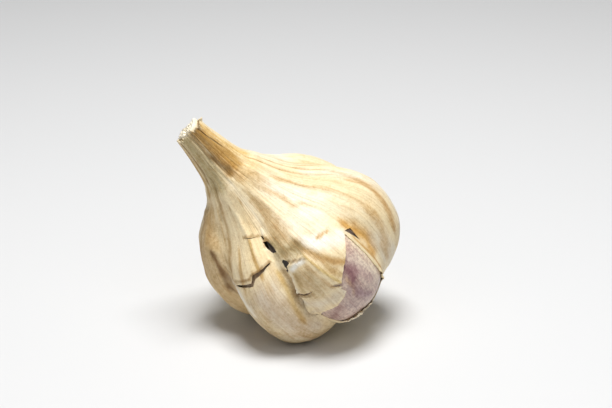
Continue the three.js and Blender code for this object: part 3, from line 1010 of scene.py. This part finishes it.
def wind_up(work):
    flat = points_of(work)
    around, upwards = flat[:, 0] + 0.5, flat[:, 1] + 0.5
    bearing = around * ROLL_TURNS * 360
    radius = ROLL_OUTSIDE + (ROLL_INSIDE - ROLL_OUTSIDE) * around
    radius = radius + 0.12 * grain(bearing, upwards * 30, 6, 0.05, 30.0)
    level = np.zeros(bearing.shape)
    torn = 0.9 * grain(bearing, level, 5, 1, 31.0) + 1.1 * grain(bearing, level, 14, 1, 33.0)
    tuft = ROLL_TUFT * np.maximum(np.cos(np.radians(bearing - TUFT_BEARING)), 0) ** 2
    torn += (aslant(bearing) + tuft) * radius / ROLL_OUTSIDE
    height = ROLL_FROM + (ROLL_TO - ROLL_FROM) * upwards + torn * smooth(0.93, 1, upwards)
    move_points(work, lie_down(round_axis(radius, bearing, height), PLACE))
    return bearing, upwards * 100


leaf_finish = Finish("dry_leaf", roughness=0.6)
leaf_tint = leaf_finish.attribute("tint")
leaf_cloud = leaf_finish.noise(leaf_finish.object_place(), 500, detail=4)
leaf_fibre = leaf_finish.noise(leaf_finish.round_the_bulb(30, 4), 1.0, detail=3)
leaf_shade = leaf_finish.ramp(leaf_cloud, [(0.36, (0.78, 0.72, 0.62)), (0.6, (1.08, 1.07, 1.05))])
leaf_body = leaf_finish.blend(0.8, leaf_tint, leaf_shade, "MULTIPLY")
leaf_finish.wear(
    Base_Color=leaf_body,
    Roughness=0.5 + 0.25 * leaf_cloud,
    Normal=leaf_finish.bump(leaf_fibre + 0.6 * leaf_cloud, distance=0.0002, strength=0.6),
)

roll = bmesh.new()
bmesh.ops.create_grid(roll, x_segments=140, y_segments=40, size=0.5)
roll_uv = roll.loops.layers.uv.new("UVMap")
for face in roll.faces:
    for loop in face.loops:
        loop[roll_uv].uv = (loop.vert.co.x + 0.5, loop.vert.co.y + 0.5)
roll_bearing, roll_percent = wind_up(roll)
leaves = add_piece("rolled_inner_leaves", roll, leaf_finish.material, "inner_leaves")
DRY_LEAF = "D9C79A"
CUT_MARK = ([(-180, 101), (180, 101)], 30, 6, "FFF8E4", 1.0)
paint(leaves.data, roll_bearing % 360 - 180, roll_percent, DRY_LEAF, [CUT_MARK])
leaf_wall = leaves.modifiers.new("thickness", "SOLIDIFY")
leaf_wall.thickness = LEAF_THICKNESS
leaf_wall.offset = 0

# %% [markdown]
# ## Root plate
# The cloves grow from a corky plate, and the roots under it were trimmed to stubs. The plate is a profile
# spun round the bulb's axis. Each stub is a small cone, and each gets its own tilt and length from a
# seeded dice.

# %% Plate and stubs
# radius and height, from the middle of the underside round the rim to the middle of the top
PLATE_PROFILE = [(0, -15.7), (1.6, -15.75), (3.4, -15.5), (4.6, -15.1)]
PLATE_PROFILE += [(5.5, -14.5), (6, -13.6), (5.7, -12.7), (0, -12.4)]
# radius of each ring of roots, and how many roots stand on it
STUB_RINGS = ((0.6, 5), (1.9, 11), (3.1, 14), (4.3, 16))
OUTER_RING = 4.3
PLATE_UNDERSIDE, DISHED = -15.3, 0.02
BURIED, STUB_TAPER = 0.3, 0.7

plate = bmesh.new()
corners = [plate.verts.new((radius, 0, height)) for radius, height in PLATE_PROFILE]
edges = [plate.edges.new(pair) for pair in zip(corners, corners[1:])]
bmesh.ops.subdivide_edges(plate, edges=edges, cuts=2)
bmesh.ops.spin(
    plate,
    geom=[*plate.verts, *plate.edges],
    cent=(0, 0, 0),
    axis=(0, 0, 1),
    angle=math.tau,
    steps=64,
    use_merge=True,
)
bmesh.ops.remove_doubles(plate, verts=plate.verts, dist=0.001)
bmesh.ops.recalc_face_normals(plate, faces=plate.faces)
for v in plate.verts:
    v.co *= 1 + 0.03 * noise.noise(v.co * 0.9)
    v.co.z += 0.14 * noise.noise(v.co * 2.2)

stub_dice = random.Random(5)
for ring, count in STUB_RINGS:
    for k in range(count):
        length = stub_dice.uniform(0.7, 2.2)
        thick = stub_dice.uniform(0.22, 0.42)
        bearing = math.tau * (k + stub_dice.uniform(-0.3, 0.3)) / count
        splay = math.radians(stub_dice.uniform(4, 26)) * ring / OUTER_RING
        sunk = Matrix.Translation((0, 0, length / 2 - BURIED))
        size = {"radius1": thick, "radius2": thick * STUB_TAPER, "depth": length}
        stub = bmesh.ops.create_cone(plate, cap_ends=True, segments=8, matrix=sunk, **size)["verts"]
        aim_down = Matrix.Rotation(bearing, 4, "Z") @ Matrix.Rotation(math.pi - splay, 4, "Y")
        height = PLATE_UNDERSIDE + DISHED * ring**2
        foot = Matrix.Translation((ring * math.cos(bearing), ring * math.sin(bearing), height))
        bmesh.ops.transform(plate, matrix=foot @ aim_down, verts=stub)

cork_finish = Finish("corky_root_plate", roughness=0.8)
cork_place = cork_finish.object_place()
cork_cloud = cork_finish.noise(cork_place, 700, detail=5)
cork_pits = cork_finish.noise(cork_place, 2600, detail=3)
cork_browns = [(0.3, colour("6B4E2C")), (0.5, colour("A3824F")), (0.7, colour("CDB182"))]
cork_body = cork_finish.ramp(cork_cloud, cork_browns)
cork_finish.wear(
    Base_Color=cork_body,
    Roughness=0.7 + 0.25 * cork_pits,
    Normal=cork_finish.bump(cork_cloud + 0.5 * cork_pits, distance=0.0003, strength=0.7),
)
move_points(plate, lie_down(points_of(plate), PLACE))
add_piece("root_plate_and_stubs", plate, cork_finish.material, "root_plate")

# %% [markdown]
# ## Table and light
# The table is one pale sheet that runs out of the picture. The light is a wide soft one overhead that
# models the cloves, with a faint fill from the left and another from the front.

# %% Table
table = bmesh.new()
bmesh.ops.create_grid(table, x_segments=2, y_segments=2, size=3)
table_mesh = bpy.data.meshes.new("table")
table.to_mesh(table_mesh)
table.free()
table_finish = Finish("pale_table", roughness=0.7)
table_cloud = table_finish.noise(table_finish.object_place(), 3.0)
pale_greys = [(0.3, (0.69, 0.693, 0.695)), (0.7, (0.70, 0.70, 0.70))]
table_finish.wear(Base_Color=table_finish.ramp(table_cloud, pale_greys))
table_mesh.materials.append(table_finish.material)
table_piece = into_scene("table", table_mesh)
table_piece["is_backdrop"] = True

# %% Light
world = bpy.data.worlds.new("soft_room")
world.use_nodes = True
sky = world.node_tree.nodes["Background"].inputs
sky["Color"].default_value = (1, 1, 1, 1)
sky["Strength"].default_value = 0.11
bpy.context.scene.world = world
LIT_PLACE = Vector((0, 0, 0.02))


def soft_light(name, place, size, power):
    lamp = bpy.data.lights.new(name, "AREA")
    lamp.shape = "SQUARE"
    lamp.size = size
    lamp.energy = power
    holder = into_scene(name, lamp)
    holder.location = place
    holder.rotation_euler = (LIT_PLACE - Vector(place)).to_track_quat("-Z", "Y").to_euler()


soft_light("overhead", (0.02, -0.03, 0.74), 0.33, 6.7)
soft_light("left_fill", (-0.45, -0.5, 0.6), 0.6, 0.7)
soft_light("front_fill", (0.3, -0.5, 0.68), 0.5, 0.8)
bpy.context.scene.view_settings.view_transform = "Standard"

# %% Sizes
visual_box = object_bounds()
sizes = {
    "cad": [list(corner) for corner in cad_box],
    "visual": [list(corner) for corner in visual_box],
}
for label, (near, far) in sizes.items():
    print(label, [round((b - a) / MM, 2) for a, b in zip(near, far)], "mm")
